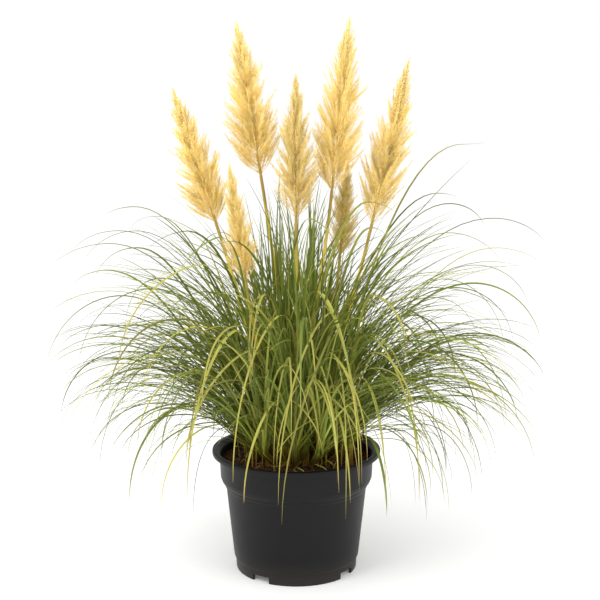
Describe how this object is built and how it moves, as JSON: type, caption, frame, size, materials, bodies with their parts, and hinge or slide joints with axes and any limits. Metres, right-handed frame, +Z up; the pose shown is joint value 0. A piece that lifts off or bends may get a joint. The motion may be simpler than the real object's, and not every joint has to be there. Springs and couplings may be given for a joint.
{
  "type": "potted pampas grass",
  "caption": "Clump of arching ornamental grass with feathery golden plumes, in a round plastic nursery pot; stands on a patio or floor.",
  "frame": {"origin": "on the floor, under the middle of the pot's foot ring; the leaves reach equally far on opposite sides, so it is also the bottom centre of the whole plant's box", "axes": "+Z up through the pot's axis, the longest side; -Y is the front seen in the picture; +X is to the right"},
  "size_m": [0.9721, 0.9738, 1.071],
  "materials": {
    "pot_plastic": "charcoal moulded plastic, satin",
    "soil": "dark moist peat compost, crumbly and matt",
    "green_leaf": "narrow green grass blades, some yellow-green, slightly translucent",
    "stem": "smooth yellow-green cane",
    "plume": "soft golden plume of fine hairs, translucent at the edges"
  },
  "bodies": {
    "root": {"pot": "pot_plastic", "soil": "soil", "stem_left": "stem", "stem_left_tall": "stem", "stem_front_small": "stem", "stem_middle": "stem", "stem_right_tall": "stem", "stem_right": "stem", "stem_back_small": "stem", "plume_left": "plume", "plume_left_tall": "plume", "plume_front_small": "plume", "plume_middle": "plume", "plume_right_tall": "plume", "plume_right": "plume", "plume_back_small": "plume", "leaf_tuft_01": "green_leaf", "leaf_tuft_02": "green_leaf", "leaf_tuft_03": "green_leaf", "leaf_tuft_04": "green_leaf", "leaf_tuft_05": "green_leaf", "leaf_tuft_06": "green_leaf", "leaf_tuft_07": "green_leaf", "leaf_tuft_08": "green_leaf", "leaf_tuft_09": "green_leaf", "leaf_tuft_10": "green_leaf", "leaf_tuft_11": "green_leaf", "leaf_tuft_12": "green_leaf", "leaf_tuft_13": "green_leaf", "leaf_tuft_14": "green_leaf", "leaf_tuft_15": "green_leaf", "leaf_tuft_16": "green_leaf", "leaf_tuft_17": "green_leaf", "leaf_tuft_18": "green_leaf", "leaf_tuft_19": "green_leaf", "leaf_tuft_20": "green_leaf", "leaf_tuft_21": "green_leaf", "leaf_tuft_22": "green_leaf", "leaf_tuft_23": "green_leaf", "leaf_tuft_24": "green_leaf", "leaf_tuft_25": "green_leaf", "leaf_tuft_26": "green_leaf", "leaf_tuft_27": "green_leaf", "leaf_tuft_28": "green_leaf", "leaf_tuft_29": "green_leaf", "leaf_tuft_30": "green_leaf", "leaf_tuft_31": "green_leaf", "leaf_tuft_32": "green_leaf", "leaf_tuft_33": "green_leaf", "leaf_tuft_34": "green_leaf", "leaf_tuft_35": "green_leaf", "leaf_tuft_36": "green_leaf", "leaf_tuft_37": "green_leaf", "leaf_tuft_38": "green_leaf", "leaf_tuft_39": "green_leaf"}
  },
  "joints": []
}
